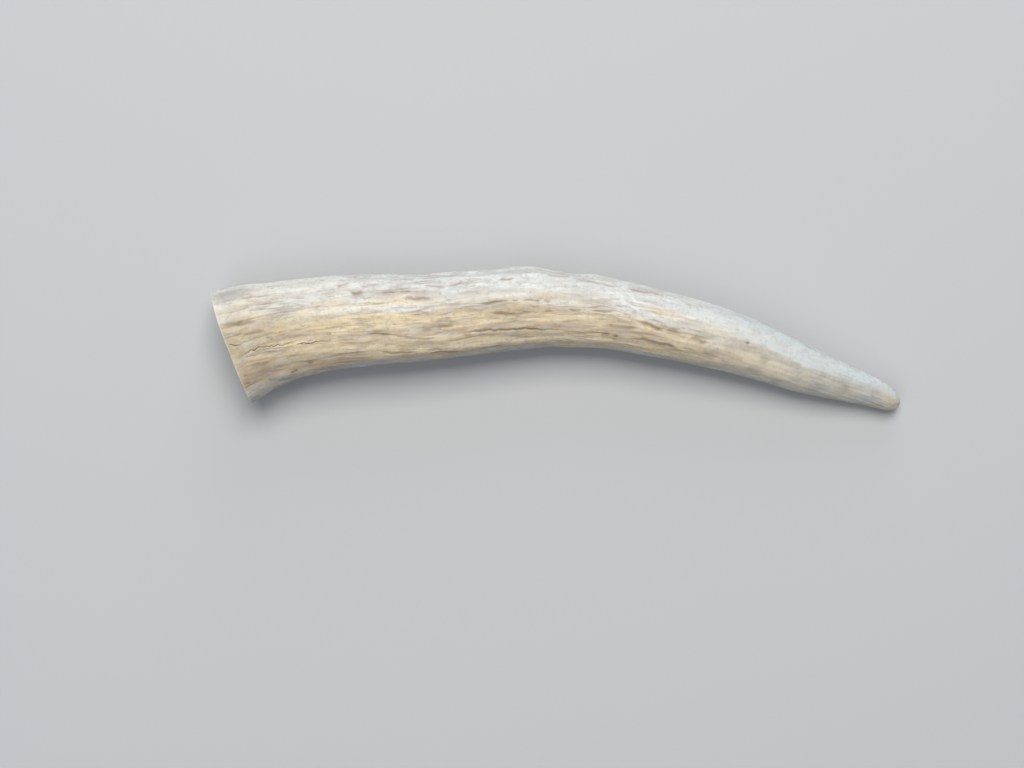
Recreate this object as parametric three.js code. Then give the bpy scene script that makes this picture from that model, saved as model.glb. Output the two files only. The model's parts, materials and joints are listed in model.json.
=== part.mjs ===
// A deer antler tine, sawn off flat at its base and lying on its side.
//
// The tine grew as one piece of bone, so it is one closed solid. It bends once, in the plane that it lies in:
// its back is the outer side of the bend (+Y) and its belly the inner side (-Y). Where it is sawn off, the
// belly flares out towards the beam that it branched from. From there it tapers to a blunt, rounded tip.
//
// Millimetres, +Z up, +X from the sawn face to the tip. The origin is under the middle of the bounding box, on
// the surface that the tine rests on.
import * as THREE from "three";

// The cross-sections that the skin passes through, from the sawn face to the tip. back and belly are the two
// edges of a section as [x, y], thick is its height, and lift is the gap between it and the surface below. The
// base, the outside of the bend and the tip touch that surface, and the stretches between them arch over it.
const SECTIONS = [
  { back: [-83.0, 11.6], belly: [-73.4, -15.6], thick: 18.8, lift: 0.75 },
  { back: [-73.1, 13.0], belly: [-66.0, -11.2], thick: 18.5, lift: 0.85 },
  { back: [-63.0, 14.2], belly: [-58.6, -8.6], thick: 18.1, lift: 0.95 },
  { back: [-51.3, 15.1], belly: [-48.7, -6.9], thick: 18.0, lift: 1.0 },
  { back: [-38.8, 15.4], belly: [-37.3, -5.8], thick: 17.8, lift: 1.0 },
  { back: [-26.8, 15.8], belly: [-25.2, -4.6], thick: 17.6, lift: 0.7 },
  { back: [-14.6, 16.7], belly: [-13.5, -3.1], thick: 17.3, lift: 0.35 },
  { back: [-5.6, 16.8], belly: [-5.6, -2.3], thick: 17.0, lift: 0.15 },
  { back: [2.1, 15.9], belly: [1.1, -1.9], thick: 16.6, lift: 0.15 },
  { back: [13.6, 14.3], belly: [11.2, -2.4], thick: 15.9, lift: 0.35 },
  { back: [26.3, 11.2], belly: [22.6, -4.3], thick: 15.0, lift: 0.6 },
  { back: [38.6, 7.7], belly: [34.4, -6.5], thick: 13.8, lift: 0.7 },
  { back: [50.8, 3.1], belly: [46.6, -9.4], thick: 12.3, lift: 0.6 },
  { back: [61.6, -2.0], belly: [57.6, -12.7], thick: 10.5, lift: 0.4 },
  { back: [71.0, -6.4], belly: [68.0, -14.7], thick: 8.5, lift: 0.2 },
  { back: [77.3, -9.4], belly: [75.0, -16.0], thick: 7.1, lift: 0.05 },
  { back: [83.4, -13.0], belly: [82.3, -18.1], thick: 5.8, lift: 0.0 },
];

// A section is between an ellipse (1) and a box (0): a tine is a little flattened on its four sides.
const ROUNDNESS = 0.93;
// Share by which the sawn end is thicker towards the back than towards the flared belly, and the share of the
// tine's length over which that evens out.
const BASE_LEAN = 0.3;
const LEAN_REACH = 0.2;
// The share of the length that the rounded nose takes.
const NOSE_SHARE = 0.036;

// Broad flutes run along the tine and fade out before the smooth tip. Each set has a count round the section,
// a depth, a start angle and the angle by which it winds from base to tip, which keeps them from being parallel.
const FLUTES = [
  { count: 5, depth: 0.22, start: 0.6, winding: 1.1 },
  { count: 8, depth: 0.16, start: 2.3, winding: -1.7 },
  { count: 13, depth: 0.1, start: 4.1, winding: 2.6 },
];
const FLUTES_FADE = [0.62, 0.9];

// Faces round the skin and along it, and round the nose.
const AROUND = 60;
const ALONG = 60;
const NOSE_RINGS = 7;

const BONE = new THREE.MeshStandardMaterial({
  color: 0xd9ccb2,
  roughness: 0.62,
  metalness: 0,
});

const backEdge = new THREE.CatmullRomCurve3(
  SECTIONS.map(({ back }) => new THREE.Vector3(...back, 0)),
);
const bellyEdge = new THREE.CatmullRomCurve3(
  SECTIONS.map(({ belly }) => new THREE.Vector3(...belly, 0)),
);
const heights = new THREE.SplineCurve(
  SECTIONS.map(({ thick, lift }) => new THREE.Vector2(thick, lift)),
);

// A sine or cosine pushed out from the ellipse towards the box round it.
const squared = (x) => Math.sign(x) * Math.abs(x) ** ROUNDNESS;

// How far the flutes move the skin out at a share of the length and an angle round the section, in mm.
function fluting(along, angle) {
  const kept = 1 - THREE.MathUtils.smoothstep(along, ...FLUTES_FADE);
  const wave = ({ count, depth, start, winding }) =>
    depth * Math.cos(count * angle + start + winding * along);
  return kept * FLUTES.reduce((sum, flute) => sum + wave(flute), 0);
}

// The point of the tine at a share of its length, an angle round the section (0 at the back, a quarter turn at
// the top) and a share of the way from the section's middle to its skin.
function pointOfTine(along, angle, outward) {
  const back = backEdge.getPoint(along);
  const belly = bellyEdge.getPoint(along);
  const { x: thick, y: lift } = heights.getPoint(along);
  const fluted = outward * (1 + (2 * fluting(along, angle)) / thick);
  const across = fluted * squared(Math.cos(angle));
  const up = fluted * squared(Math.sin(angle));
  const lean = BASE_LEAN * (1 - THREE.MathUtils.smoothstep(along, 0, LEAN_REACH));
  const point = belly.lerp(back, (1 + across) / 2);
  point.z = lift + (thick / 2) * (1 + up * (1 + lean * across));
  return point;
}

// The tine's blank is a turned bar one unit long and one in radius: a flat end, a straight side and a round nose.
function turnedBlank() {
  const noseStart = 1 - NOSE_SHARE;
  const profile = [new THREE.Vector2(0, 0)];
  for (let ring = 0; ring < ALONG; ring++)
    profile.push(new THREE.Vector2(1, (noseStart * ring) / ALONG));
  for (let ring = 0; ring <= NOSE_RINGS; ring++) {
    const turn = ((ring / NOSE_RINGS) * Math.PI) / 2;
    const radius = ring < NOSE_RINGS ? Math.cos(turn) : 0;
    profile.push(new THREE.Vector2(radius, noseStart + NOSE_SHARE * Math.sin(turn)));
  }
  return new THREE.LatheGeometry(profile, AROUND);
}

// Carries each point of the blank to its place on the bent, tapered tine.
function tineGeometry() {
  const geometry = turnedBlank();
  const position = geometry.getAttribute("position");
  for (let i = 0; i < position.count; i++) {
    const [x, along, z] = [position.getX(i), position.getY(i), position.getZ(i)];
    const point = pointOfTine(along, Math.atan2(x, z), Math.hypot(x, z));
    position.setXYZ(i, point.x, point.y, point.z);
  }
  geometry.computeBoundingBox();
  const middle = geometry.boundingBox.getCenter(new THREE.Vector3());
  geometry.translate(-middle.x, -middle.y, -geometry.boundingBox.min.z);
  geometry.computeVertexNormals();
  return geometry;
}

const tine = new THREE.Mesh(tineGeometry(), BONE);
tine.name = "antler_tine";

const antler = new THREE.Group();
antler.add(tine);

export default antler;
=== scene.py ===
"""The finish of a deer antler tine: furrowed, weathered bone with a sawn base, on a plain studio stage."""
import json
import math
import random

import bpy
import numpy as np
from bpy.props import FloatProperty, FloatVectorProperty, PointerProperty
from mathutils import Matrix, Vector


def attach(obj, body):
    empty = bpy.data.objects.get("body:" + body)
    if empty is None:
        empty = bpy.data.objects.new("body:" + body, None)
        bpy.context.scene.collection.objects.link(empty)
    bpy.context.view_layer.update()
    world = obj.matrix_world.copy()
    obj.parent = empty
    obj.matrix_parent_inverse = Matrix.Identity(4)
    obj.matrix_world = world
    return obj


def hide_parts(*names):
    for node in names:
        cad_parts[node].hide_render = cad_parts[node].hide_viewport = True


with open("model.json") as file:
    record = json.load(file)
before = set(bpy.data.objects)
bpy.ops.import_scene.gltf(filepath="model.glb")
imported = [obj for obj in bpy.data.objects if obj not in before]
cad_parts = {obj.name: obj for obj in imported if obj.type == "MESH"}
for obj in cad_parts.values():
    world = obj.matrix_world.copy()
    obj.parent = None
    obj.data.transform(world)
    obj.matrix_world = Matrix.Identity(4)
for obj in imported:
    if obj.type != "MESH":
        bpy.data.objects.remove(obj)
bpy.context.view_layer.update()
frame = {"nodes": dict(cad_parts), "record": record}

bl_info = {
    "name": "Antler Tine",
    "version": (1, 0, 0),
    "blender": (4, 5, 0),
    "location": "View3D > Sidebar > Antler",
    "description": "Finishes a sawn-off antler tine in weathered bone and sets it on a studio stage",
    "category": "Object",
}

MM = 0.001
SAWN = frame["record"]["mounts"][0]
SAWN_CENTRE = Vector(SAWN["pos_m"])
SAWN_AXIS = Vector(SAWN["axis"]).normalized()
# Where the camera looks straight down, as x and y in metres.
CAMERA_AXIS = (-0.0112, -0.01075)

# Places on the tine are given as millimetres along it from the saw cut, and degrees round it: 0 is the back,
# on the outside of the bend, 90 the side that faces up, 180 the belly and 270 the side that it lies on.

# The drying crack: a zigzag from near the saw cut, broken once, and a short crack beside it.
CRACK = [
    [
        (3.4, 111), (5.0, 107), (6.0, 110), (7.2, 107.5), (8.4, 109), (9.5, 112), (10.6, 111.5),
        (13.3, 113), (15.2, 115),
    ],
    [(15.9, 118), (17.5, 117), (18.8, 117.5), (20.0, 117.5), (20.9, 116), (22.0, 116.5)],
    [(0.7, 90), (1.8, 91), (2.7, 93), (3.6, 96)],
]

# Furrows that stand out on the upper side: the places that each runs through, its width and depth in
# millimetres, and how darkly it is stained, from 0 to 1.
FURROWS = [
    ([(0.3, 64), (3.2, 67), (6.4, 70), (9.1, 71)], 0.9, 0.25, 0.7),
    ([(9.1, 71), (12.8, 71.5), (17.0, 71)], 0.8, 0.15, 0.3),
    ([(1.2, 76), (2.9, 79), (6.2, 84), (10.5, 88)], 0.7, 0.2, 0.5),
    ([(9.2, 97), (11.0, 99)], 0.6, 0.15, 0.5),
    ([(6.0, 38), (9.1, 39), (13.5, 40)], 0.7, 0.2, 0.5),
    ([(10.5, 50), (13.2, 51)], 0.7, 0.1, 0.35),
    ([(3.1, 128), (5.3, 130), (8.3, 133)], 0.9, 0.15, 0.55),
    ([(0.6, 148), (2.3, 151)], 0.4, 0.2, 0.8),
    ([(1.0, 139), (2.5, 140)], 0.4, 0.15, 0.5),
    ([(17.5, 146), (19.2, 146)], 0.5, 0.15, 0.8),
    ([(12.5, 155), (14.8, 155)], 0.5, 0.15, 0.7),
    ([(23.2, 106), (25.0, 108)], 0.7, 0.12, 0.4),
    ([(27.0, 35), (29.0, 34), (30.2, 35)], 0.7, 0.2, 0.6),
    ([(32.2, 36), (34.2, 38), (37.5, 35)], 0.8, 0.2, 0.5),
    ([(30.2, 48), (31.4, 50), (33.6, 49)], 1.3, 0.2, 0.9),
    ([(37.2, 48), (38.8, 51), (41.0, 49)], 0.8, 0.2, 0.65),
    ([(41.5, 50), (44.6, 52)], 0.8, 0.18, 0.55),
    ([(41.8, 62), (43.6, 62), (45.0, 65), (46.4, 63), (49.5, 65)], 0.7, 0.25, 0.65),
    ([(21.5, 116.5), (23.0, 117), (25.0, 117)], 0.3, 0.15, 0.7),
    ([(25.6, 118), (28.0, 118), (31.0, 120)], 0.3, 0.12, 0.5),
    ([(33.6, 112), (37.3, 114), (39.2, 115)], 0.32, 0.25, 0.85),
    ([(49.3, 108), (51.0, 109), (54.2, 108)], 0.6, 0.2, 0.8),
    ([(40.8, 121), (44.5, 123), (48.0, 124), (50.2, 124)], 0.45, 0.2, 0.5),
    ([(35.2, 136), (38.0, 143), (40.7, 143), (45.5, 146)], 0.6, 0.2, 0.6),
    ([(47.2, 149), (50.0, 150), (52.0, 152), (55.6, 154)], 0.6, 0.3, 0.75),
    ([(46.0, 108), (48.5, 113)], 0.9, 0.15, 0.5),
    ([(47.2, 42), (49.0, 42), (52.3, 47)], 0.6, 0.15, 0.4),
    ([(52.5, 43), (54.8, 42), (60.5, 40)], 0.7, 0.2, 0.5),
    ([(64.9, 42), (67.4, 41), (68.5, 40)], 0.6, 0.2, 0.8),
    ([(53.0, 86), (56.0, 84), (59.5, 82)], 0.6, 0.15, 0.35),
    ([(60.3, 81), (63.2, 79), (65.3, 78), (67.6, 78)], 0.42, 0.25, 0.6),
    ([(67.9, 77), (69.3, 78)], 0.4, 0.2, 0.55),
    ([(70.2, 79), (73.1, 79), (75.0, 79)], 0.4, 0.25, 0.72),
    ([(75.2, 78), (76.8, 81)], 0.7, 0.2, 0.5),
    ([(62.0, 93), (64.7, 97), (68.2, 100), (71.6, 99), (73.4, 99)], 0.8, 0.3, 0.7),
    ([(75.4, 97), (77.5, 96)], 0.7, 0.2, 0.45),
    (
        [(54.5, 120), (58.7, 120), (62.6, 119.5), (63.6, 122), (69.8, 122), (74.7, 125), (79.0, 125)],
        0.5, 0.38, 1.0,
    ),
    ([(55.8, 123), (58.2, 125)], 0.8, 0.2, 0.5),
    ([(51.5, 98), (53.5, 98)], 0.8, 0.15, 0.5),
    ([(81.0, 92), (84.5, 92)], 0.5, 0.2, 0.5),
    ([(86.3, 90), (88.8, 89), (92.3, 87)], 0.5, 0.2, 0.7),
    ([(96.0, 81), (97.2, 80)], 0.5, 0.15, 0.6),
    ([(75.5, 33), (78.4, 32), (81.6, 28)], 0.7, 0.25, 0.6),
    ([(83.0, 30), (85.2, 36), (90.0, 40), (93.7, 39)], 0.8, 0.25, 0.5),
    ([(93.7, 38), (96.5, 38), (100.7, 34), (103.3, 36)], 0.8, 0.25, 0.6),
    ([(107.6, 41), (110.0, 40)], 0.6, 0.2, 0.5),
    ([(89.5, 114), (93.9, 112), (98.6, 107)], 0.9, 0.2, 0.6),
    ([(89.5, 127), (91.8, 127)], 0.9, 0.2, 0.6),
    ([(92.9, 129), (94.0, 129)], 0.7, 0.2, 0.8),
    ([(98.2, 97), (100.6, 98), (102.9, 101), (104.4, 102)], 0.8, 0.3, 0.8),
    ([(104.8, 100), (108.3, 101)], 1.0, 0.2, 0.5),
    ([(97.1, 128), (100.0, 125), (104.9, 127), (107.1, 127), (109.7, 132)], 0.9, 0.3, 0.75),
    ([(110.8, 105), (112.9, 105), (114.0, 108), (115.7, 107)], 0.9, 0.3, 0.7),
    ([(114.6, 127), (119.0, 129)], 0.7, 0.15, 0.5),
    ([(124.1, 84), (125.2, 83)], 0.6, 0.2, 0.9),
    ([(120.7, 64), (122.0, 64)], 0.5, 0.1, 0.4),
]

# Stains and pale places, with painted shade and painted light among them: where the middle of each one is,
# its half length in millimetres, its half width in degrees, and its strength.
OCHRE_STAINS = [
    (34, 93, 27, 14, 0.65), (9, 67, 9, 7, 0.6), (26, 62, 6, 6, 0.45), (22, 126, 15, 8, 0.55),
    (41, 136, 7, 8, 0.85), (58, 108, 12, 12, 0.6), (64, 96, 9, 6, 0.6), (78, 112, 9, 11, 0.8),
    (92, 104, 8, 8, 0.45), (102, 103, 7, 8, 0.65), (112, 104, 6, 8, 0.75), (142, 100, 9, 12, 0.6),
    (6, 50, 12, 16, 0.35), (104, 70, 9, 12, 0.6), (116, 74, 8, 12, 0.4),
    (18, 74, 14, 9, 0.5), (12, 82, 12, 8, 0.4), (24, 114, 20, 10, 0.4), (100, 114, 18, 8, 0.4),
    (138, 112, 10, 12, 0.3), (164, 90, 6, 90, 0.35), (10, 124, 8, 9, 0.4),
]
# The blot 4 mm from the cut at 30 degrees is painted shade at that corner of the cut, and the one at 150
# degrees is the flare's pinkish grey with painted shade at the cut's lower corner.
MAUVE_STAINS_AND_PAINTED_SHADE = [
    (8, 51, 8, 6, 0.5), (14, 104, 13, 8, 0.6), (6, 133, 7, 9, 0.6), (24, 147, 14, 8, 0.55),
    (37, 49, 9, 6, 0.45), (46, 55, 8, 6, 0.35), (62, 62, 14, 7, 0.3), (46, 112, 9, 9, 0.5),
    (60, 126, 9, 6, 0.5), (73, 132, 11, 7, 0.35), (92, 123, 10, 9, 0.45), (105, 134, 10, 7, 0.35),
    (118, 126, 9, 8, 0.45), (148, 100, 5, 9, 0.3), (4, 150, 7, 28, 0.7), (60, 115, 15, 7, 0.8),
    (79, 117, 14, 7, 0.8), (99, 115, 10, 8, 0.6), (118, 116, 10, 9, 0.4), (36, 113, 24, 6, 0.55),
    (4, 30, 8, 16, 0.35), (4, 126, 5, 9, 0.8), (30, 43, 10, 6, 0.3), (16, 45, 9, 7, 0.3),
    (150, 104, 22, 40, 0.5), (136, 98, 6, 6, 0.8), (143, 103, 5, 6, 0.9), (129, 86, 4, 5, 0.5),
]
# The blot 4 mm from the cut at 30 degrees is painted shade at that corner of the cut.
ASH_STAINS_AND_PAINTED_SHADE = [
    (154, 118, 22, 80, 0.8), (138, 174, 30, 30, 0.8), (152, 10, 16, 30, 0.5), (4, 30, 8, 16, 0.45),
]
# The grey along the belly edge is painted shade, where that side turns away from the light.
BELLY_PAINTED_SHADE = [
    (4, 200, 26, 49, 1.0), (34, 198, 28, 46, 1.0), (66, 199, 32, 47, 1.0), (98, 200, 32, 47, 1.0),
    (126, 202, 28, 46, 0.6),
]
CHALK_STAINS = [
    (14, 66, 10, 8, 0.9), (34, 73, 28, 10, 0.9), (44, 79, 12, 9, 0.8), (60, 80, 10, 8, 0.3),
    (82, 81, 18, 11, 0.6), (104, 90, 20, 9, 0.7), (56, 22, 14, 20, 0.5), (120, 24, 14, 20, 0.4),
    (52, 18, 22, 16, 0.5), (92, 89, 11, 12, 0.9), (118, 96, 10, 12, 0.4), (20, 24, 14, 20, 0.4),
]
# The creams at 132 degrees and further round are painted light on the flank above the belly; the others are
# pale stains.
CREAM_STAINS_AND_PAINTED_LIGHT = [
    (32, 132, 18, 10, 0.8), (58, 136, 18, 10, 0.9), (82, 142, 26, 12, 1.0), (110, 146, 20, 14, 1.0),
    (34, 92, 24, 12, 0.7), (12, 110, 10, 9, 0.5), (52, 124, 12, 8, 0.4), (92, 92, 22, 8, 0.5),
    (46, 95, 20, 11, 0.9), (104, 150, 22, 9, 0.9), (10, 34, 40, 44, 0.22), (72, 147, 16, 7, 0.8),
    (72, 140, 64, 13, 1.0), (36, 68, 18, 8, 0.5), (30, 100, 26, 10, 0.8), (96, 152, 26, 8, 0.9),
    (92, 152, 8, 8, 0.8), (116, 150, 12, 8, 0.8), (14, 114, 8, 7, 0.6), (84, 102, 10, 8, 0.5),
    (36, 90, 18, 12, 1.0),
]
# A stain fades out from its core, which is this share of it. The painted shade on the belly has a clear
# border.
STAIN_CORE = 0.2
BELLY_SHADE_CORE = 0.84
# Low swellings and hollows of the skin, given in the same way, with a height in millimetres.
SWELLINGS = [
    (7, 8, 4.5, 35, 0.3), (34, 4, 8, 30, 0.2), (48, 4, 3, 28, -0.2), (71, 6, 7, 35, 0.4),
    (80.5, 2, 2.2, 28, -0.2), (87, 2, 4.5, 30, 0.3), (93, 4, 2.5, 25, -0.1), (118, 6, 4, 30, 0.15),
]

# The furrows above wander by this many degrees, once in about this many millimetres.
WOBBLE = 0.45
WOBBLE_LENGTH = 7.0
# The crack turns aside by up to this many degrees in every half millimetre.
JOG = 1.7
# This share of a furrow's dirt has spread to its banks, about a millimetre to each side.
BANK_STAIN = 0.22
# More furrows and stains lie at random over the sides that the lists above leave bare, from the lower belly
# round the underside to the back.
SCATTER_SEED = 11
SCATTER_FROM, SCATTER_TO = 172, 345
SCATTERED_FURROWS = 110
SCATTERED_STAINS = 22

# The polished tip begins and is complete at these distances from the saw cut, in millimetres.
TIP_BEGINS = 102.0
TIP_COMPLETE = 132.0

# The grain is laid out on an even cylinder of this radius in millimetres, and closes up where the nose is
# thinner than the second one.
GRAIN_RADIUS = 9.0
NOSE_GIRTH = 2.6

# Patterns that the relief and the skin's colour share: their length and width along the grain in millimetres,
# and a shift that makes each one different.
COARSE_FURROWS = (16.0, 1.8, 0.0)
FINE_FURROWS = (8.0, 1.1, 30.0)
BROAD_HOLLOWS = (9.0, 3.4, 50.0)
NARROW_HOLLOWS = (5.0, 1.6, 70.0)
# These press the skin in by this many millimetres on average. It is raised by as much, to keep its size.
MEAN_PRESS = 0.17
# The share of the places for a nick that have one.
NICKED_CELLS = 0.16
# The large and the small pores of the spongy core: how far apart they are and how deep, in millimetres.
PORES = ((1.3, 0.4), (0.7, 0.2))
# The border of the core wanders by up to the first of these, in millimetres, and is as soft as the second.
UNEVEN_BORDER = 2.4
SOFT_BORDER = 2.2
# Bone bends light a little more than glass, and lets some of it in under its surface, red furthest.
BONE = {"IOR": 1.55, "Subsurface Radius": (1.0, 0.6, 0.35), "Subsurface Scale": 1.5 * MM}

# Mesh: levels of subdivision of the frame's own mesh, rings round the worn rim, and the side of the sawn
# face's grid in faces, before its one subdivision.
SMOOTH_LEVELS = 2
RIM_RINGS = 4
CUT_GRID = 60
# A vertex is on the saw cut when it is closer to it than this, in millimetres.
ON_CUT = 0.02
# Closer than this to a crack or a furrow, in millimetres, each edge of the mesh gets this many cuts.
NEAR_CRACK, CRACK_CUTS = 0.8, 3
NEAR_FURROW, FURROW_CUTS = 0.55, 1

# How far apart nodes stand in the editors.
NODE_STEP = 190


# ---- Small tools ----


def linear(hex_colour):
    """An sRGB hex colour as the linear RGBA that shaders take."""
    shares = [int(hex_colour[i:i + 2], 16) / 255 for i in (1, 3, 5)]
    return [c / 12.92 if c <= 0.04045 else ((c + 0.055) / 1.055) ** 2.4 for c in shares] + [1.0]


def add_node(tree, kind, inputs=None, **settings):
    """Adds a node with its settings. An input is given a value, or the node or socket that feeds it."""
    node = tree.nodes.new(kind)
    node.location.x = NODE_STEP * len(tree.nodes)
    for setting, value in settings.items():
        setattr(node, setting, value)
    live = [socket for socket in node.inputs if socket.enabled]
    for place, value in (inputs or {}).items():
        socket = live[place] if isinstance(place, int) else next(s for s in live if s.name == place)
        if isinstance(value, bpy.types.Node):
            value = next(s for s in value.outputs if s.enabled)
        if isinstance(value, bpy.types.NodeSocket):
            tree.links.new(value, socket)
        else:
            socket.default_value = value
    return node


def edit(piece, wanted, kind="vertices"):
    """Opens a piece in edit mode, alone, with those of its vertices or polygons selected that are wanted."""
    bpy.ops.object.select_all(action="DESELECT")
    bpy.context.view_layer.objects.active = piece
    piece.select_set(True)
    bpy.ops.object.mode_set(mode="EDIT")
    bpy.ops.mesh.select_mode(type="VERT" if kind == "vertices" else "FACE")
    bpy.ops.mesh.select_all(action="DESELECT")
    bpy.ops.object.mode_set(mode="OBJECT")
    elements = getattr(piece.data, kind)
    elements.foreach_set("select", np.broadcast_to(wanted, len(elements)))
    bpy.ops.object.mode_set(mode="EDIT")


def modify(piece, kind, **settings):
    """Adds a modifier to the active piece and applies it."""
    bpy.ops.object.modifier_add(type=kind)
    modifier = piece.modifiers[-1]
    for setting, value in settings.items():
        setattr(modifier, setting, value)
    bpy.ops.object.modifier_apply(modifier=modifier.name)


def values_of(elements, field, width=1):
    """One field of all of a mesh's vertices, faces or attribute values, as an array."""
    values = np.empty(len(elements) * width)
    elements.foreach_get(field, values)
    return values.reshape(-1, width) if width > 1 else values


def paint(mesh, name, values):
    """Stores a number or a vector for each vertex of a mesh, under a name that nodes can read."""
    kind, field = ("FLOAT", "value") if values.ndim == 1 else ("FLOAT_VECTOR", "vector")
    mesh.attributes.new(name, kind, "POINT").data.foreach_set(field, values.ravel())


def smooth(values, start, end):
    """0 before start, 1 after end, and a smooth rise between them."""
    share = np.clip((values - start) / (end - start), 0, 1)
    return share * share * (3 - 2 * share)


def behind_cut(mesh):
    """How far each vertex is behind the plane of the saw cut, in millimetres."""
    return (values_of(mesh.vertices, "co", 3) - SAWN_CENTRE) @ -SAWN_AXIS / MM


# ---- The tine's own coordinates ----


def rings_of(mesh, rim):
    """The number of the ring that each vertex is on, counted from the rim's vertices edge by edge."""
    neighbours = [[] for _ in mesh.vertices]
    for edge in mesh.edges:
        a, b = edge.vertices
        neighbours[a].append(b)
        neighbours[b].append(a)
    ring = np.full(len(mesh.vertices), -1)
    front, number = list(rim), 0
    while front:
        ring[front] = number
        front = sorted({j for i in front for j in neighbours[i] if ring[j] < 0})
        number += 1
    return ring


def paint_grain(mesh):
    """Paints how the bone's grain lies on its skin, so that patterns follow the tine's bend and taper.

    grain is a vertex's place on an even cylinder: how far along the tine it is, and where round it.
    girth is how far it is from the tine's middle line.
    """
    places = values_of(mesh.vertices, "co", 3)
    ring = rings_of(mesh, np.flatnonzero(behind_cut(mesh) < ON_CUT))
    middles = np.array([places[ring == number].mean(0) for number in range(ring.max() + 1)])
    along = np.append(0, np.cumsum(np.linalg.norm(np.diff(middles, axis=0), axis=1)))
    forward = np.gradient(middles, axis=0)
    backward = np.cross([0, 0, 1], forward)
    upward = np.cross(forward, backward)
    offset = places - middles[ring]
    back, up = [
        (offset * side[ring]).sum(1) / np.linalg.norm(side[ring], axis=1) for side in (backward, upward)
    ]
    girth = np.hypot(back, up)
    evened = GRAIN_RADIUS * MM * np.minimum(1, girth / (NOSE_GIRTH * MM)) / np.maximum(girth, 1e-9)
    paint(mesh, "grain", np.column_stack([along[ring], back * evened, up * evened]))
    paint(mesh, "girth", girth)


class Skin:
    """Where each vertex of a skin is in the tine's own coordinates, read from what paint_grain stored."""

    def __init__(self, mesh):
        grain = values_of(mesh.attributes["grain"].data, "vector", 3)
        self.along = grain[:, 0] / MM
        self.round = np.degrees(np.arctan2(grain[:, 2], grain[:, 1]))
        self.girth = values_of(mesh.attributes["girth"].data, "value") / MM

    def turn_from(self, angle):
        """How far round from an angle each vertex is, in degrees, the shorter way."""
        return (self.round - angle + 180) % 360 - 180

    def blot(self, along, angle, half_length, half_width, core=STAIN_CORE):
        """1 in the core of an oval, given as a share of it, and 0 outside it."""
        away = np.hypot((self.along - along) / half_length, self.turn_from(angle) / half_width)
        return 1 - smooth(away, core, 1)

    def line(self, places, wobble=0.0):
        """How far each vertex is from a line through some places, in millimetres, and its share of the line.

        The line wanders from those places by about a wobble in degrees.
        """
        away = np.full(len(self.along), np.inf)
        share = np.zeros(len(self.along))
        begin, whole = places[0][0], places[-1][0] - places[0][0]
        turns = self.along / WOBBLE_LENGTH + places[0][1]
        wave = wobble * (np.sin(math.tau * turns) + np.sin(math.tau * 2.3 * turns))
        arc = np.radians(self.girth)
        for (start, angle), (end, end_angle) in zip(places, places[1:]):
            x, y = self.along - start, (self.turn_from(angle) + wave) * arc
            dx, dy = end - start, (end_angle - angle) * arc
            part = np.clip((x * dx + y * dy) / (dx * dx + dy * dy), 0, 1)
            distance = np.hypot(x - part * dx, y - part * dy)
            share = np.where(distance < away, (start + part * dx - begin) / whole, share)
            away = np.minimum(distance, away)
        return away, share


def scattered(dice):
    """Furrows and two lists of stains at random places on the otherwise bare sides, like the listed ones."""
    furrows = []
    for _ in range(SCATTERED_FURROWS):
        start = dice.uniform(0.5, TIP_BEGINS + 8)
        angle = dice.uniform(SCATTER_FROM, SCATTER_TO)
        length = dice.uniform(3, 15) * (1 - 0.4 * start / TIP_BEGINS)
        places = [(start + length * part, angle + dice.uniform(-3, 3)) for part in (0, 0.5, 1)]
        width, depth, darkness = dice.uniform(0.45, 1.0), dice.uniform(0.1, 0.35), dice.uniform(0.35, 0.9)
        furrows.append((places, width, depth, darkness))
    # For each number of a stain, the range that it is drawn from.
    ranges = ((4, TIP_BEGINS + 10), (SCATTER_FROM, SCATTER_TO), (6, 20), (6, 14), (0.35, 0.8))
    blots = [[[dice.uniform(*ends) for ends in ranges] for _ in range(SCATTERED_STAINS)] for _ in range(2)]
    return furrows, *blots


def jagged(places, dice):
    """The places of a line, with a small random jog in every half millimetre."""
    jogs = []
    for (start, angle), (end, end_angle) in zip(places, places[1:]):
        steps = max(1, round(2 * (end - start)))
        for step in range(steps):
            part = step / steps
            turn = (end_angle - angle) * part + dice.uniform(-JOG, JOG)
            jogs.append((start + (end - start) * part, angle + turn))
    return jogs + [places[-1]]


def refine_near(piece, lines, wobble, reach, cuts):
    """Cuts the faces near some lines on the skin into smaller ones, but none by the rim of the cut."""
    skin = Skin(piece.data)
    near = np.zeros(len(piece.data.vertices), bool)
    for places in lines:
        near |= skin.line(places, wobble)[0] < reach
    near &= behind_cut(piece.data) > 1
    faces = np.array([near[list(face.vertices)].any() for face in piece.data.polygons])
    edit(piece, faces, "polygons")
    bpy.ops.mesh.subdivide(number_cuts=cuts)
    bpy.ops.object.mode_set(mode="OBJECT")


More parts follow.
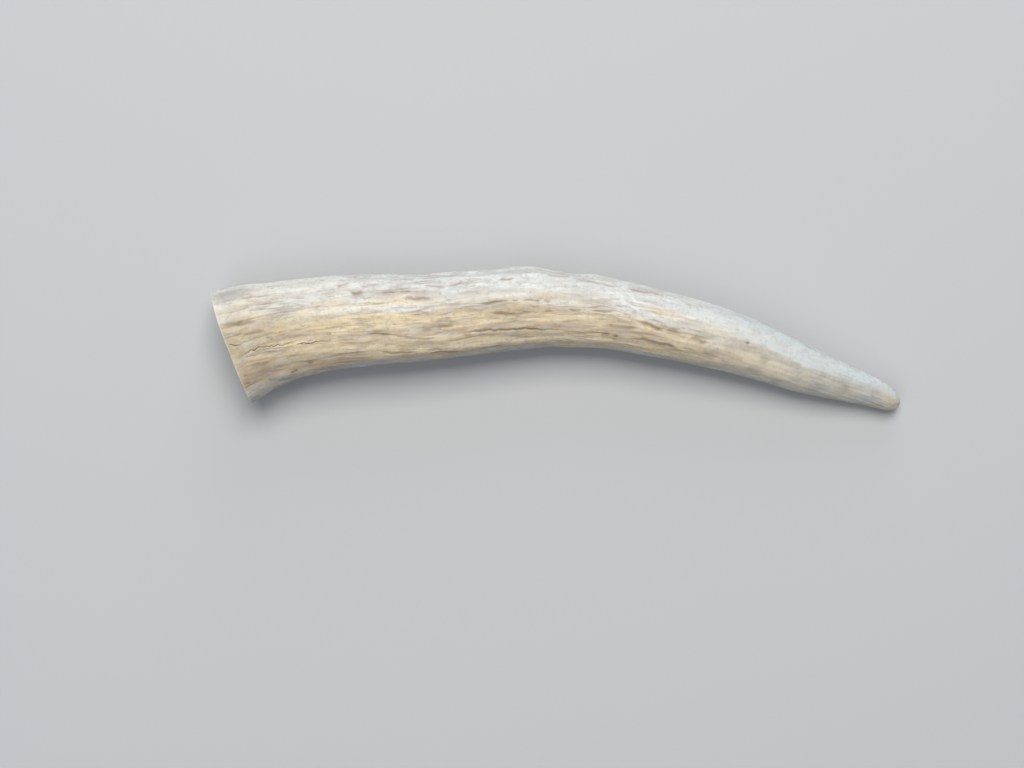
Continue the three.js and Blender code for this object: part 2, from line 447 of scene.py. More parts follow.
def paint_marks(mesh, settings):
    """Paints how deep each vertex lies in a furrow, crack or hollow, and how far each stain covers it."""
    skin = Skin(mesh)
    more_furrows, more_ochre, more_mauve = scattered(random.Random(SCATTER_SEED))
    count = len(mesh.vertices)
    press, stain, crack = np.zeros(count), np.zeros(count), np.zeros(count)
    # A furrow is thinner and paler towards its ends, and so is the stain on its banks.
    for places, width, depth, darkness in FURROWS + more_furrows:
        away, share = skin.line(places, WOBBLE)
        taper = 0.25 + 0.75 * smooth(share, 0, 0.25) * (1 - smooth(share, 0.75, 1))
        valley = np.exp(-((away / (0.6 * width * taper)) ** 2)) * taper
        bank = np.exp(-((away / (1.1 * taper)) ** 2)) * taper
        press = np.maximum(press, 0.7 * depth * valley)
        stain = np.maximum(stain, darkness * np.maximum(valley, BANK_STAIN * bank))
    width = settings.crack_width / MM
    dice = random.Random(SCATTER_SEED)
    for places in CRACK:
        away, share = skin.line(jagged(places, dice))
        gape = smooth(share, -0.15, 0.3) * (1 - 0.75 * smooth(share, 0.55, 1.05))
        crack = np.maximum(crack, gape * (1 - smooth(away, 0.25 * width, width)))
    press += settings.crack_depth / MM * crack
    for *place, height in SWELLINGS:
        press -= height * skin.blot(*place)
    paint(mesh, "press", press * MM)
    paint(mesh, "stain", stain)
    paint(mesh, "crack", crack)
    # The belly's grey and some blots of the other lists are painted shade; some of the cream is painted
    # light.
    for name, stains, core in (
        ("ochre", OCHRE_STAINS + more_ochre, STAIN_CORE),
        ("mauve", MAUVE_STAINS_AND_PAINTED_SHADE + more_mauve, STAIN_CORE),
        ("ash", ASH_STAINS_AND_PAINTED_SHADE, STAIN_CORE),
        ("belly", BELLY_PAINTED_SHADE, BELLY_SHADE_CORE),
        ("chalk", CHALK_STAINS, STAIN_CORE),
        ("cream", CREAM_STAINS_AND_PAINTED_LIGHT, STAIN_CORE),
    ):
        cover = np.zeros(count)
        for *place, strength in stains:
            cover = np.maximum(cover, strength * skin.blot(*place, core))
        paint(mesh, name, cover)


def paint_cut(mesh):
    """Paints how far each vertex is behind the saw cut, and how far inside the cut's rim those on it are."""
    places = values_of(mesh.vertices, "co", 3)
    on_cut = {i for face in mesh.polygons if face.material_index == 1 for i in face.vertices}
    beyond = {i for face in mesh.polygons if face.material_index == 0 for i in face.vertices}
    rim = places[sorted(on_cut & beyond)]
    inside = np.zeros(len(places))
    for i in on_cut - beyond:
        inside[i] = np.sqrt(((rim - places[i]) ** 2).sum(1).min())
    paint(mesh, "inside_rim", inside)
    paint(mesh, "behind_cut", behind_cut(mesh) * MM)


# ---- Patterns that the relief and the materials share ----


def product(tree, *factors):
    """The product of some factors, each a number, a node or a socket."""
    result = factors[0]
    for factor in factors[1:]:
        result = add_node(tree, "ShaderNodeMath", {0: result, 1: factor}, operation="MULTIPLY")
    return result


def grain_noise(tree, grain, length, width, shift, detail=2.0):
    """Noise in patches of about a length and width in millimetres along the grain.

    A shift, in patches, takes it from another part of the noise.
    """
    scale = (1 / (length * MM), 1 / (width * MM), 1 / (width * MM))
    stretched = add_node(
        tree, "ShaderNodeVectorMath", {0: grain, 1: scale, 2: (shift,) * 3}, operation="MULTIPLY_ADD"
    )
    return add_node(tree, "ShaderNodeTexNoise", {"Vector": stretched, "Scale": 1.0, "Detail": detail})


def streaks(tree, grain, length, width, shift, low, high, detail=2.0, least=0.0):
    """Streaks along the grain: the least value where its noise is at a low level, and 1 at a high one."""
    noise = grain_noise(tree, grain, length, width, shift, detail)
    return add_node(
        tree,
        "ShaderNodeMapRange",
        {"Value": noise, "From Min": low, "From Max": high, "To Min": least},
        interpolation_type="SMOOTHSTEP",
    )


def towards_tip(tree, grain):
    """0 on the furrowed part of the tine, and 1 on its polished tip."""
    along = add_node(tree, "ShaderNodeSeparateXYZ", {0: grain})
    return add_node(
        tree,
        "ShaderNodeMapRange",
        {"Value": along, "From Min": TIP_BEGINS * MM, "From Max": TIP_COMPLETE * MM},
        interpolation_type="SMOOTHSTEP",
    )


def fine_furrows(tree, grain, length, width, shift, reach=0.07):
    """Fine furrows that wander along the grain: 1 in their beds and 0 on the ridges between, none at the tip.

    They run where a noise passes its middle value, and reach is how far from that value their banks end.
    """
    level = grain_noise(tree, grain, length, width, shift)
    away = add_node(tree, "ShaderNodeMath", {0: level, 1: 0.5}, operation="SUBTRACT")
    size = add_node(tree, "ShaderNodeMath", {0: away}, operation="ABSOLUTE")
    bed = add_node(
        tree,
        "ShaderNodeMapRange",
        {"Value": size, "From Min": 0.0, "From Max": reach, "To Min": 1.0, "To Max": 0.0},
        interpolation_type="SMOOTHSTEP",
    )
    here = streaks(tree, grain, 0.6 * length, 1.6 * width, shift + 7, 0.42, 0.66)
    rough = add_node(tree, "ShaderNodeMath", {0: 1.0, 1: towards_tip(tree, grain)}, operation="SUBTRACT")
    return product(tree, bed, here, rough)


def nicks(tree, grain, length, width, shift):
    """Short, thin nicks along the grain, of a length and width in millimetres: 1 in them, 0 beside them."""
    scale = (0.6 / (length * MM), 0.6 / (width * MM), 0.6 / (width * MM))
    stretched = add_node(
        tree, "ShaderNodeVectorMath", {0: grain, 1: scale, 2: (shift,) * 3}, operation="MULTIPLY_ADD"
    )
    ragged = add_node(tree, "ShaderNodeTexNoise", {"Vector": stretched, "Scale": 3.0, "Detail": 2.0})
    bent = add_node(
        tree,
        "ShaderNodeVectorMath",
        {0: ragged.outputs["Color"], 1: (0.35,) * 3, 2: stretched},
        operation="MULTIPLY_ADD",
    )
    cell = add_node(tree, "ShaderNodeTexVoronoi", {"Vector": bent, "Scale": 1.0})
    nick = add_node(
        tree,
        "ShaderNodeMapRange",
        {"Value": cell, "From Min": 0.14, "From Max": 0.27, "To Min": 1.0, "To Max": 0.0},
        interpolation_type="SMOOTHSTEP",
    )
    # Each cell of the pattern has a colour of its own at random, which settles whether it has a nick.
    chance = add_node(tree, "ShaderNodeSeparateXYZ", {0: cell.outputs["Color"]})
    taken = add_node(tree, "ShaderNodeMath", {0: chance, 1: NICKED_CELLS}, operation="LESS_THAN")
    rough = add_node(tree, "ShaderNodeMath", {0: 1.0, 1: towards_tip(tree, grain)}, operation="SUBTRACT")
    return product(tree, nick, taken, rough)


def cut_place(tree, position):
    """A place on the saw cut as (0, across it, up it), in metres."""
    turned = add_node(
        tree,
        "ShaderNodeVectorRotate",
        {"Vector": position, "Angle": -math.atan2(SAWN_AXIS.y, SAWN_AXIS.x)},
        rotation_type="Z_AXIS",
    )
    return add_node(tree, "ShaderNodeVectorMath", {0: turned, 1: (0, 1, 1)}, operation="MULTIPLY")


def sponginess(tree, place, inside_rim, settings):
    """0 in the dense outer bone of the saw cut, and 1 in its spongy core. Their border is uneven."""
    uneven = add_node(tree, "ShaderNodeTexNoise", {"Vector": place, "Scale": 1 / (5 * MM), "Detail": 2.0})
    depth = add_node(
        tree, "ShaderNodeMath", {0: uneven, 1: UNEVEN_BORDER * MM, 2: inside_rim}, operation="MULTIPLY_ADD"
    )
    return add_node(
        tree,
        "ShaderNodeMapRange",
        {
            "Value": depth,
            "From Min": settings.dense_bone,
            "From Max": settings.dense_bone + SOFT_BORDER * MM,
        },
        interpolation_type="SMOOTHSTEP",
    )


def pores(tree, place, size, spongy):
    """Uneven pores of bone sponge, about a size apart: 1 in their middles and 0 on the walls between.

    They are wide, with thin walls, in the middle of the core, and small towards the dense bone.
    """
    uneven = add_node(tree, "ShaderNodeTexNoise", {"Vector": place, "Scale": 1.3 / size, "Detail": 2.0})
    bent = add_node(
        tree,
        "ShaderNodeVectorMath",
        {0: uneven.outputs["Color"], 1: (0, size, size), 2: place},
        operation="MULTIPLY_ADD",
    )
    cell = add_node(tree, "ShaderNodeTexVoronoi", {"Vector": bent, "Scale": 1 / size})
    reach = add_node(tree, "ShaderNodeMapRange", {"Value": spongy, "To Min": 0.05, "To Max": 0.62})
    floor = product(tree, reach, 0.3)
    return add_node(
        tree,
        "ShaderNodeMapRange",
        {"Value": cell, "From Min": floor, "From Max": reach, "To Min": 1.0, "To Max": 0.0},
        interpolation_type="SMOOTHSTEP",
    )


# ---- The relief ----


def relief_nodes(settings):
    """Geometry nodes that work the painted marks, the fine furrows and the pores of the cut into the skin."""
    tree = bpy.data.node_groups.new("Antler relief", "GeometryNodeTree")
    for in_out in ("INPUT", "OUTPUT"):
        tree.interface.new_socket("Geometry", in_out=in_out, socket_type="NodeSocketGeometry")
    start = add_node(tree, "NodeGroupInput")
    kinds = {"grain": "FLOAT_VECTOR", "press": "FLOAT", "behind_cut": "FLOAT", "inside_rim": "FLOAT"}
    grain, press, behind, inside = [
        add_node(tree, "GeometryNodeInputNamedAttribute", {"Name": name}, data_type=kind)
        for name, kind in kinds.items()
    ]

    # How far the skin is pressed in: by furrows, by broad and narrow hollows, and by the painted marks.
    coarse = product(tree, fine_furrows(tree, grain, *COARSE_FURROWS), settings.furrow_depth)
    fine = product(tree, fine_furrows(tree, grain, *FINE_FURROWS), 0.45 * settings.furrow_depth)
    skin = add_node(tree, "ShaderNodeMath", {0: coarse, 1: fine}, operation="MAXIMUM")
    for pattern, low, high, depth in ((BROAD_HOLLOWS, 0.25, 0.75, 0.2), (NARROW_HOLLOWS, 0.2, 0.8, 0.12)):
        hollow = streaks(tree, grain, *pattern, low, high)
        skin = add_node(tree, "ShaderNodeMath", {0: hollow, 1: depth * MM, 2: skin}, operation="MULTIPLY_ADD")
    skin = add_node(tree, "ShaderNodeMath", {0: skin, 1: press}, operation="ADD")
    skin = add_node(tree, "ShaderNodeMath", {0: skin, 1: MEAN_PRESS * MM}, operation="SUBTRACT")
    # The worn rim of the cut has none of it.
    unworn = add_node(
        tree,
        "ShaderNodeMapRange",
        {"Value": behind, "From Min": 0.0, "From Max": 1.6 * settings.rim_wear},
        interpolation_type="SMOOTHSTEP",
    )

    place = cut_place(tree, add_node(tree, "GeometryNodeInputPosition"))
    spongy = sponginess(tree, place, inside, settings)
    large, small = [product(tree, pores(tree, place, size * MM, spongy), depth * MM) for size, depth in PORES]
    hole = add_node(tree, "ShaderNodeMath", {0: large, 1: small}, operation="MAXIMUM")

    skin, hole = product(tree, skin, unworn), product(tree, hole, spongy)
    depth = add_node(tree, "ShaderNodeMath", {0: skin, 1: hole}, operation="ADD")
    normal = add_node(tree, "GeometryNodeInputNormal")
    inwards = add_node(tree, "ShaderNodeVectorMath", {0: normal, "Scale": -1.0}, operation="SCALE")
    offset = add_node(tree, "ShaderNodeVectorMath", {0: inwards, "Scale": depth}, operation="SCALE")
    worked = add_node(tree, "GeometryNodeSetPosition", {"Geometry": start, "Offset": offset})
    # Nothing swells below the surface that the tine rests on.
    position = add_node(tree, "GeometryNodeInputPosition")
    above = add_node(tree, "ShaderNodeVectorMath", {0: position, 1: (-1, -1, 0)}, operation="MAXIMUM")
    rested = add_node(tree, "GeometryNodeSetPosition", {"Geometry": worked, "Position": above})
    add_node(tree, "NodeGroupOutput", {0: rested})
    return tree


# ---- Materials ----


def new_material(name, inputs):
    """A material, its node tree, and its shader with some of its inputs."""
    material = bpy.data.materials.new(name)
    material.use_nodes = True
    tree = material.node_tree
    tree.nodes.clear()
    shader = add_node(tree, "ShaderNodeBsdfPrincipled", inputs)
    add_node(tree, "ShaderNodeOutputMaterial", {"Surface": shader})
    return material, tree, shader


def layered(tree, colour, layers):
    """A colour with others laid over it in turn, each with the factors whose product is its share."""
    for other, *factors in layers:
        share = product(tree, *factors)
        colour = add_node(
            tree, "ShaderNodeMix", {"Factor": share, "A": colour, "B": other}, data_type="RGBA"
        )
    return colour


def weathered_bone(settings):
    """Antler that has lain in the weather: dry, matt bone, grown with furrows.

    The back is bleached to chalk and the side that faced up is stained ochre. Dirt has settled in the
    furrows, and the tip is polished by the deer's rubbing. Shade is painted in grey along the belly edge and
    at corners of the cut, and light is painted in cream on the flank above the belly.
    """
    material, tree, shader = new_material("weathered antler bone", {**BONE, "Subsurface Weight": 0.12})
    grain = add_node(tree, "ShaderNodeAttribute", attribute_name="grain").outputs["Vector"]
    painted = {
        name: add_node(tree, "ShaderNodeAttribute", attribute_name=name).outputs["Fac"]
        for name in ("chalk", "cream", "ochre", "mauve", "belly", "ash", "stain", "crack", "behind_cut")
    }
    place = add_node(tree, "ShaderNodeTexCoord").outputs["Object"]
    tip = towards_tip(tree, grain)

    # The back bleaches most. Where it passes into the sides is uneven.
    across = add_node(tree, "ShaderNodeSeparateXYZ", {0: grain}).outputs["Y"]
    uneven = streaks(tree, grain, 30.0, 6.0, 0.0, 0.2, 0.8)
    edge = add_node(tree, "ShaderNodeMath", {0: uneven, 1: 7.0 * MM, 2: across}, operation="MULTIPLY_ADD")
    begins = add_node(tree, "ShaderNodeMapRange", {"Value": tip, "To Min": 2.8 * MM, "To Max": 0.0})
    complete = add_node(tree, "ShaderNodeMapRange", {"Value": tip, "To Min": 8.6 * MM, "To Max": 13.0 * MM})
    bleached = add_node(
        tree,
        "ShaderNodeMapRange",
        {"Value": edge, "From Min": begins, "From Max": complete},
        interpolation_type="SMOOTHSTEP",
    )
    shaded = add_node(tree, "ShaderNodeMath", {0: bleached, 1: -0.75, 2: 1.0}, operation="MULTIPLY_ADD")
    layers = [(settings.chalk_colour, bleached)]

    # Stains gather in streaks along the grain, except on the tip. The belly's grey is painted shade and some
    # of the cream is painted light, laid in the same streaks.
    for name, stain, length, width, shift in (
        ("chalk", settings.chalk_colour, 12.0, 3.0, 31.0),
        ("cream", settings.cream_and_painted_light_colour, 18.0, 3.0, 33.0),
        ("ochre", settings.ochre_colour, 30.0, 5.0, 3.0),
        ("mauve", settings.mauve_and_shade_colour, 16.0, 2.0, 11.0),
        ("belly", settings.belly_shade_colour, 30.0, 4.0, 21.0),
        ("ash", settings.ash_and_shade_colour, 20.0, 4.0, 19.0),
    ):
        gathered = streaks(tree, grain, length, width, shift, 0.1, 0.5)
        even = add_node(tree, "ShaderNodeMath", {0: gathered, 1: tip}, operation="MAXIMUM")
        layers.append((stain, even, painted[name]))

    # Pale places are smooth and hold less dirt, and so does the tip. Some of the cream is painted light,
    # which the streaks below spare as well.
    pale = add_node(
        tree, "ShaderNodeMath", {0: painted["cream"], 1: painted["chalk"]}, operation="MAXIMUM"
    )
    off_pale = add_node(tree, "ShaderNodeMapRange", {"Value": pale, "To Min": 1.0, "To Max": 0.35})
    off_tip = add_node(tree, "ShaderNodeMapRange", {"Value": tip, "To Min": 1.0, "To Max": 0.2})
    lively = product(tree, off_tip, off_pale)

    # Thin grey streaks, and small clouds of the stains' colours.
    layers.append((settings.ash_and_shade_colour, streaks(tree, grain, 9.0, 1.9, 17.0, 0.5, 0.72), lively, 0.2))
    for stain, length, width, shift, where, share in (
        (settings.ochre_colour, 7.0, 2.6, 41.0, shaded, 0.3),
        (settings.mauve_and_shade_colour, 3.0, 1.5, 43.0, lively, 0.26),
        (settings.chalk_colour, 3.6, 1.8, 47.0, lively, 0.35),
    ):
        cloudy = streaks(tree, grain, length, width, shift, 0.45, 0.75, detail=4.0)
        layers.append((stain, cloudy, where, share))

    # The tip is rubbed to an even, paler colour, with faint patches where it isn't bleached.
    whiter = add_node(tree, "ShaderNodeMath", {0: bleached, 1: 0.5, 2: 0.35}, operation="MULTIPLY_ADD")
    layers.append((settings.tip_colour, tip, whiter))
    for stain, size, share in ((settings.bone_colour, 9.0, 0.36), (settings.furrow_colour, 3.4, 0.4)):
        cloudy = streaks(tree, place, size, 0.7 * size, size, 0.42, 0.68, detail=6.0)
        layers.append((stain, cloudy, tip, shaded, share))

    # Fibres of the bone, drawn 0.4 mm across, which is coarser than they are, so that they show. Then the
    # hollows of the skin, and a fine mottling.
    fibres = streaks(tree, grain, 2.4, 0.4, 23.0, 0.3, 0.7)
    mottling = add_node(
        tree,
        "ShaderNodeTexNoise",
        {"Vector": place, "Scale": 1 / (0.9 * MM), "Detail": 5.0, "Roughness": 0.62},
    )
    specks = add_node(
        tree,
        "ShaderNodeMapRange",
        {"Value": mottling, "From Min": 0.45, "From Max": 0.7},
        interpolation_type="SMOOTHSTEP",
    )
    fewer = add_node(tree, "ShaderNodeMapRange", {"Value": tip, "To Min": 0.31, "To Max": 0.26})
    layers += [
        (settings.furrow_colour, fibres, lively, 0.03),
        (settings.furrow_colour, streaks(tree, grain, *BROAD_HOLLOWS, 0.3, 0.7), lively, 0.2),
        (settings.furrow_colour, streaks(tree, grain, *NARROW_HOLLOWS, 0.35, 0.65), lively, 0.2),
        (settings.furrow_colour, specks, fewer),
    ]

    # Dirt in the beds of the fine furrows, here more and there less, in nicks, and in the painted furrows,
    # where the sun has faded it on the back.
    coarse, fine = fine_furrows(tree, grain, *COARSE_FURROWS), fine_furrows(tree, grain, *FINE_FURROWS)
    beds = add_node(tree, "ShaderNodeMath", {0: coarse, 1: fine}, operation="MAXIMUM")
    long_nicks, short_nicks = nicks(tree, grain, 1.6, 0.5, 5.0), nicks(tree, grain, 0.7, 0.4, 15.0)
    nicked = add_node(tree, "ShaderNodeMath", {0: long_nicks, 1: short_nicks}, operation="MAXIMUM")
    dirt = layered(tree, settings.dirt_colour, [(settings.faded_dirt_colour, bleached)])
    patchy = streaks(tree, grain, 1.6, 0.7, 37.0, 0.3, 0.65, least=0.72)
    broken = streaks(tree, grain, 1.6, 1.6, 53.0, 0.4, 0.6, least=0.35)
    # The rim of the saw cut is worn down to clean bone.
    worn = add_node(
        tree,
        "ShaderNodeMapRange",
        {
            "Value": painted["behind_cut"],
            "From Min": 0.15 * MM,
            "From Max": 0.5 * MM,
            "To Min": 0.45,
            "To Max": 0.0,
        },
        interpolation_type="SMOOTHSTEP",
    )
    layers += [
        (settings.mauve_and_shade_colour, fine_furrows(tree, grain, *COARSE_FURROWS, reach=0.2), shaded, 0.3),
        (settings.furrow_colour, beds, streaks(tree, grain, 22.0, 6.0, 29.0, 0.35, 0.65), 0.55),
        (settings.dirt_colour, nicked, 0.35),
        (dirt, painted["stain"], patchy),
        (settings.crack_colour, painted["crack"], broken),
        (settings.sawn_colour, worn),
    ]
    colour = layered(tree, settings.bone_colour, layers)

    rough = add_node(tree, "ShaderNodeMapRange", {"Value": tip, "To Min": 0.62, "To Max": 0.40})
    pits = add_node(tree, "ShaderNodeMath", {0: nicked, 1: beds}, operation="MAXIMUM")
    normal = {}
    for height, strength, depth in ((fibres, 0.15, 0.05), (pits, 0.4, 0.1), (mottling, 0.5, 0.1)):
        inputs = {"Height": height, "Strength": strength, "Distance": depth * MM}
        bump = add_node(tree, "ShaderNodeBump", {**inputs, **normal}, invert=True)
        normal = {"Normal": bump}
    tree.links.new(colour.outputs["Result"], shader.inputs["Base Color"])
    tree.links.new(rough.outputs["Result"], shader.inputs["Roughness"])
    tree.links.new(bump.outputs["Normal"], shader.inputs["Normal"])
    return material


def sawn_bone(settings):
    """The same bone where a fine saw went through it: a dense, cream ring round a brown, spongy core.

    The teeth left faint, nearly straight scratches across the cut. Shade is painted into the pores.
    """
    material, tree, shader = new_material(
        "sawn antler bone", {**BONE, "Roughness": 0.72, "Subsurface Weight": 0.08}
    )
    place = cut_place(tree, add_node(tree, "ShaderNodeTexCoord").outputs["Object"])
    inside = add_node(tree, "ShaderNodeAttribute", attribute_name="inside_rim").outputs["Fac"]
    spongy = sponginess(tree, place, inside, settings)

    cloud = add_node(tree, "ShaderNodeTexNoise", {"Vector": place, "Scale": 1 / (3.0 * MM), "Detail": 4.0})
    core = layered(tree, settings.core_colour, [(settings.bone_colour, cloud)])
    skin = add_node(
        tree,
        "ShaderNodeMapRange",
        {"Value": inside, "From Min": 0.2 * MM, "From Max": 1.3 * MM, "To Min": 0.55, "To Max": 0.0},
        interpolation_type="SMOOTHSTEP",
    )
    large, small = [pores(tree, place, size * MM, spongy) for size, _ in PORES]
    holes = add_node(tree, "ShaderNodeMath", {0: large, 1: small}, operation="MAXIMUM")
    # The scratches are 0.35 mm wide and stand nearly upright.
    slanted = add_node(
        tree, "ShaderNodeMapping", {"Vector": place, "Rotation": (math.radians(12), math.radians(90), 0)}
    )
    scratches = streaks(tree, slanted, 26.0, 0.35, 13.0, 0.3, 0.7, detail=3.0)
    colour = layered(
        tree,
        settings.sawn_colour,
        [
            (settings.bone_colour, cloud),
            (settings.ochre_colour, skin),
            (core, spongy),
            # Painted shade in the pores.
            (settings.pore_shade_colour, holes, spongy, 0.8),
            (settings.furrow_colour, scratches, 0.16),
        ],
    )
    bump = add_node(
        tree,
        "ShaderNodeBump",
        {"Height": scratches, "Strength": 0.5, "Distance": 0.05 * MM},
        invert=True,
    )
    tree.links.new(colour.outputs["Result"], shader.inputs["Base Color"])
    tree.links.new(bump.outputs["Normal"], shader.inputs["Normal"])
    return material


def studio_paper(settings):
    """The pale, matt paper of a studio's table: no gloss, and no grain that shows."""
    return new_material("studio paper", {"Base Color": settings.floor_colour, "Roughness": 0.9})[0]


# ---- Settings ----


def colour_setting(name, description, hex_colour):
    """A colour that a user may change."""
    return FloatVectorProperty(
        name=name, description=description, subtype="COLOR", size=4, min=0, max=1, default=linear(hex_colour)
    )


def size_setting(name, description, millimetres):
    """A length that a user may change."""
    return FloatProperty(
        name=name, description=description, unit="LENGTH", precision=5, min=0, default=millimetres * MM
    )


def power_setting(name, description, watts):
    """The power of a light that a user may change."""
    return FloatProperty(name=name, description=description, unit="POWER", min=0, default=watts)


class TineSettings(bpy.types.PropertyGroup):
    """The sizes and colours of the tine's finish."""

    furrow_depth: size_setting("Furrow depth", "Depth of the fine furrows along the tine", 0.17)
    crack_width: size_setting("Crack width", "Half width of the drying crack", 0.115)
    crack_depth: size_setting("Crack depth", "Depth of the drying crack", 0.5)
    rim_wear: size_setting("Rim wear", "Radius to which the rim of the saw cut is worn", 0.2)
    dense_bone: size_setting("Dense bone", "Thickness of the dense bone round the core of the cut", 4.2)
    chalk_colour: colour_setting("Chalk", "Bone that the sun has bleached", "#D4D5CE")
    bone_colour: colour_setting("Bone", "Unstained bone", "#C6B492")
    # Pale stains, and painted light on the flank above the belly.
    cream_and_painted_light_colour: colour_setting("Cream", "Pale, warm stains", "#EAD9B6")
    ochre_colour: colour_setting("Ochre", "Yellow stains", "#DFC99A")
    # Also painted shade at a corner of the cut.
    mauve_and_shade_colour: colour_setting("Mauve", "Pinkish brown stains", "#A08970")
    # Painted shade along the belly edge.
    belly_shade_colour: colour_setting("Belly", "Grey of the belly side", "#A9ADAB")
    # Also painted shade at a corner of the cut.
    ash_and_shade_colour: colour_setting("Ash", "Grey streaks and stains", "#979D9B")
    tip_colour: colour_setting("Tip", "The polished tip", "#BCC3C2")
    furrow_colour: colour_setting("Furrows", "Fine furrows and fibres", "#857A70")
    dirt_colour: colour_setting("Dirt", "Dirt in the deeper furrows", "#6F5C45")
    faded_dirt_colour: colour_setting("Faded dirt", "Dirt in the furrows of the bleached back", "#856857")
    crack_colour: colour_setting("Crack", "Inside of the drying crack", "#49392A")
    sawn_colour: colour_setting("Sawn bone", "Dense bone on the saw cut and its worn rim", "#CFC9BA")
    core_colour: colour_setting("Core", "Spongy core of the saw cut", "#B7A385")
    # Painted shade in the pores of the core.
    pore_shade_colour: colour_setting("Pores", "Pores of the spongy core", "#5E4C3A")


class StudioSettings(bpy.types.PropertyGroup):
    """The studio's floor, lights and camera."""

    floor_colour: colour_setting("Floor", "Colour of the floor", "#B0B0AF")
    floor_size: size_setting("Floor size", "Side of the floor", 8000)
    camera_height: size_setting("Camera height", "Height of the camera over the floor", 460)
    lens: FloatProperty(
        name="Lens", description="Focal length of the camera", subtype="DISTANCE_CAMERA", default=66.12
    )
    key_power: power_setting("Key light", "Power of the main light", 12.4)
    rim_power: power_setting("Rim light", "Power of the cool light behind", 4.4)
    fill_power: power_setting("Fill light", "Power of the light that softens the shadows", 3.2)


# ---- Operators ----


def skin_of_node(name, node):
    """A piece that starts as the skin of a CAD node, without its flat sawn face."""
    piece = bpy.data.objects.new(name, frame["nodes"][node].data.copy())
    bpy.context.scene.collection.objects.link(piece)
    piece.data.materials.clear()
    edit(piece, True)
    bpy.ops.mesh.customdata_custom_splitnormals_clear()
    bpy.ops.mesh.remove_doubles(threshold=0.001 * MM)
    bpy.ops.object.mode_set(mode="OBJECT")
    on_cut = behind_cut(piece.data) < ON_CUT
    flat = np.array([on_cut[list(face.vertices)].all() for face in piece.data.polygons])
    edit(piece, flat, "polygons")
    bpy.ops.mesh.delete(type="FACE")
    bpy.ops.mesh.select_all(action="SELECT")
    bpy.ops.mesh.tris_convert_to_quads(face_threshold=math.radians(60), shape_threshold=math.radians(60))
    bpy.ops.object.mode_set(mode="OBJECT")
    return piece


def close_cut(piece, wear):
    """Rounds the rim of the saw cut, as handling wears it, and fills the cut with a fine grid."""
    on_cut = behind_cut(piece.data) < ON_CUT
    rim = values_of(piece.data.vertices, "co", 3)[on_cut]
    half_width = np.linalg.norm(rim - SAWN_CENTRE, axis=1).mean()
    edit(piece, on_cut)
    bpy.ops.transform.translate(value=-SAWN_AXIS * wear)
    out, size = 0.0, 1.0
    for ring in range(1, RIM_RINGS + 1):
        turn = math.radians(90) * ring / RIM_RINGS
        next_out, next_size = math.sin(turn), 1 - (1 - math.cos(turn)) * wear / half_width
        bpy.ops.mesh.extrude_edges_move(TRANSFORM_OT_translate={"value": SAWN_AXIS * wear * (next_out - out)})
        bpy.ops.transform.resize(value=(next_size / size,) * 3, center_override=SAWN_CENTRE)
        out, size = next_out, next_size
    bpy.ops.mesh.fill_grid(span=CUT_GRID, use_interp_simple=True)
    piece.active_material_index = 1
    bpy.ops.object.material_slot_assign()
    bpy.ops.mesh.subdivide(number_cuts=1)
    bpy.ops.mesh.select_all(action="SELECT")
    bpy.ops.mesh.normals_make_consistent(inside=False)
    bpy.ops.object.mode_set(mode="OBJECT")


class ANTLER_OT_add_tine(bpy.types.Operator):
    """Adds the weathered tine in place of the frame's plain one"""

    bl_idname = "antler.add_tine"
    bl_label = "Add Weathered Tine"
    bl_options = {"REGISTER", "UNDO"}

    def execute(self, context):
        settings = context.scene.antler_tine
        tine = skin_of_node("weathered_tine", "antler_tine")
        for material in (weathered_bone(settings), sawn_bone(settings)):
            tine.data.materials.append(material)
        paint_grain(tine.data)
        modify(tine, "SUBSURF", levels=SMOOTH_LEVELS, render_levels=SMOOTH_LEVELS)
        refine_near(tine, CRACK, 0.0, NEAR_CRACK, CRACK_CUTS)
        refine_near(tine, [places for places, *_ in FURROWS], WOBBLE, NEAR_FURROW, FURROW_CUTS)
        close_cut(tine, settings.rim_wear)
        paint_marks(tine.data, settings)
        paint_cut(tine.data)
        modify(tine, "NODES", node_group=relief_nodes(settings))
        bpy.ops.object.shade_smooth()
        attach(tine, "root")
        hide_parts("antler_tine")
        return {"FINISHED"}


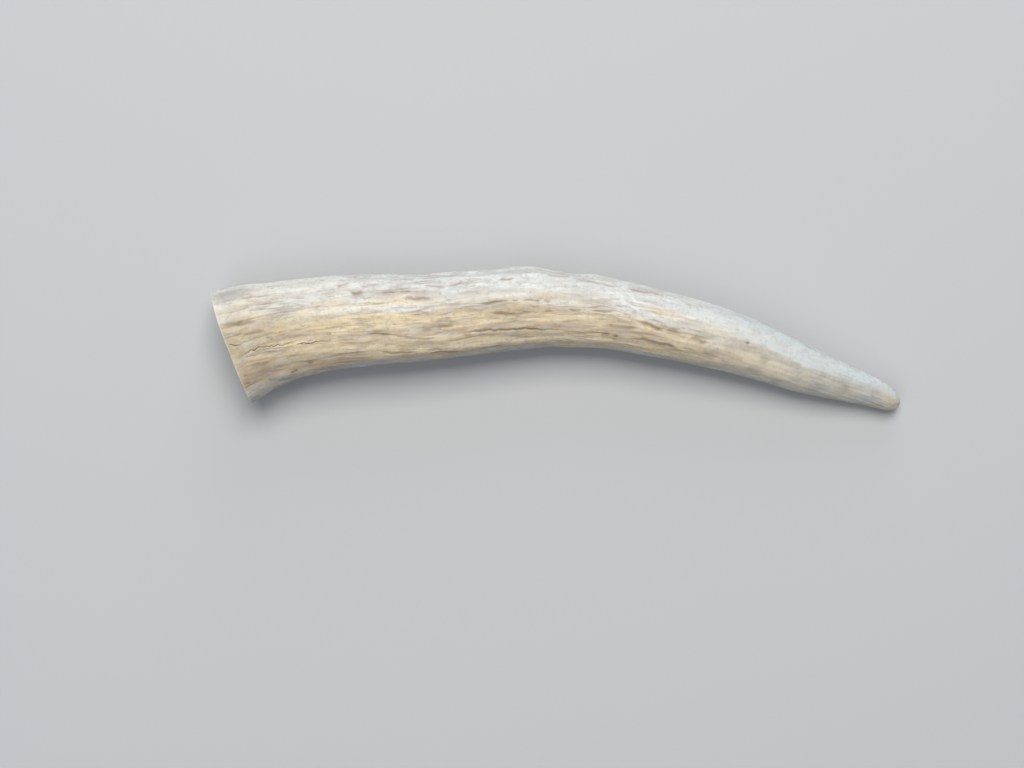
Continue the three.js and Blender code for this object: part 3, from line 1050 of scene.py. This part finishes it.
class ANTLER_OT_add_studio(bpy.types.Operator):
    """Adds a pale floor, soft lights and a camera that looks straight down"""

    bl_idname = "antler.add_studio"
    bl_label = "Add Studio"
    bl_options = {"REGISTER", "UNDO"}

    def execute(self, context):
        settings = context.scene.antler_studio
        scene = context.scene
        bpy.ops.object.select_all(action="DESELECT")
        bpy.ops.mesh.primitive_plane_add(size=settings.floor_size)
        floor = context.object
        floor.name = "studio_floor"
        floor.data.materials.append(studio_paper(settings))

        # The main light is large and high, beyond the back of the tine. The fill is on the other side, to the
        # left, and the cool rim light is low and further behind.
        for name, place, side, power, colour in (
            ("key light", (0.0, 0.45, 1.0), 0.6, settings.key_power, "#FFFDFA"),
            ("fill light", (-0.4, -0.45, 0.9), 0.8, settings.fill_power, "#F4F7FF"),
            ("rim light", (0.1, 1.1, 0.4), 0.6, settings.rim_power, "#CFE2FF"),
        ):
            bpy.ops.object.light_add(type="AREA", location=place)
            light = context.object
            light.name = name
            light.data.size = side
            light.data.energy = power
            light.data.color = linear(colour)[:3]
            light.rotation_euler = (-Vector(place)).to_track_quat("-Z", "Y").to_euler()

        world = bpy.data.worlds.new("studio light")
        world.use_nodes = True
        background = world.node_tree.nodes["Background"]
        background.inputs["Color"].default_value = linear("#DCE6F5")
        background.inputs["Strength"].default_value = 0.3
        scene.world = world

        bpy.ops.object.camera_add(location=(*CAMERA_AXIS, settings.camera_height), rotation=(0, 0, 0))
        camera = context.object
        camera.name = "camera"
        camera.data.lens = settings.lens
        camera.data.clip_start = 0.01
        scene.camera = camera
        scene.view_settings.view_transform = "Standard"
        return {"FINISHED"}


class ANTLER_PT_panel(bpy.types.Panel):
    """Lists the steps that make the antler tine and its studio, with their settings"""

    bl_idname = "ANTLER_PT_panel"
    bl_label = "Antler Tine"
    bl_space_type = "VIEW_3D"
    bl_region_type = "UI"
    bl_category = "Antler"

    def draw(self, context):
        for operator, settings in (
            ("antler.add_tine", context.scene.antler_tine),
            ("antler.add_studio", context.scene.antler_studio),
        ):
            box = self.layout.box()
            box.operator(operator)
            # The first two properties are Blender's own.
            for name in settings.bl_rna.properties.keys()[2:]:
                box.prop(settings, name)


CLASSES = (TineSettings, StudioSettings, ANTLER_OT_add_tine, ANTLER_OT_add_studio, ANTLER_PT_panel)


def register():
    for kind in CLASSES:
        bpy.utils.register_class(kind)
    bpy.types.Scene.antler_tine = PointerProperty(type=TineSettings)
    bpy.types.Scene.antler_studio = PointerProperty(type=StudioSettings)


def unregister():
    del bpy.types.Scene.antler_studio
    del bpy.types.Scene.antler_tine
    for kind in reversed(CLASSES):
        bpy.utils.unregister_class(kind)


def main():
    """Makes the tine and its studio."""
    register()
    bpy.ops.antler.add_studio()
    bpy.ops.antler.add_tine()


if __name__ == "__main__":
    main()
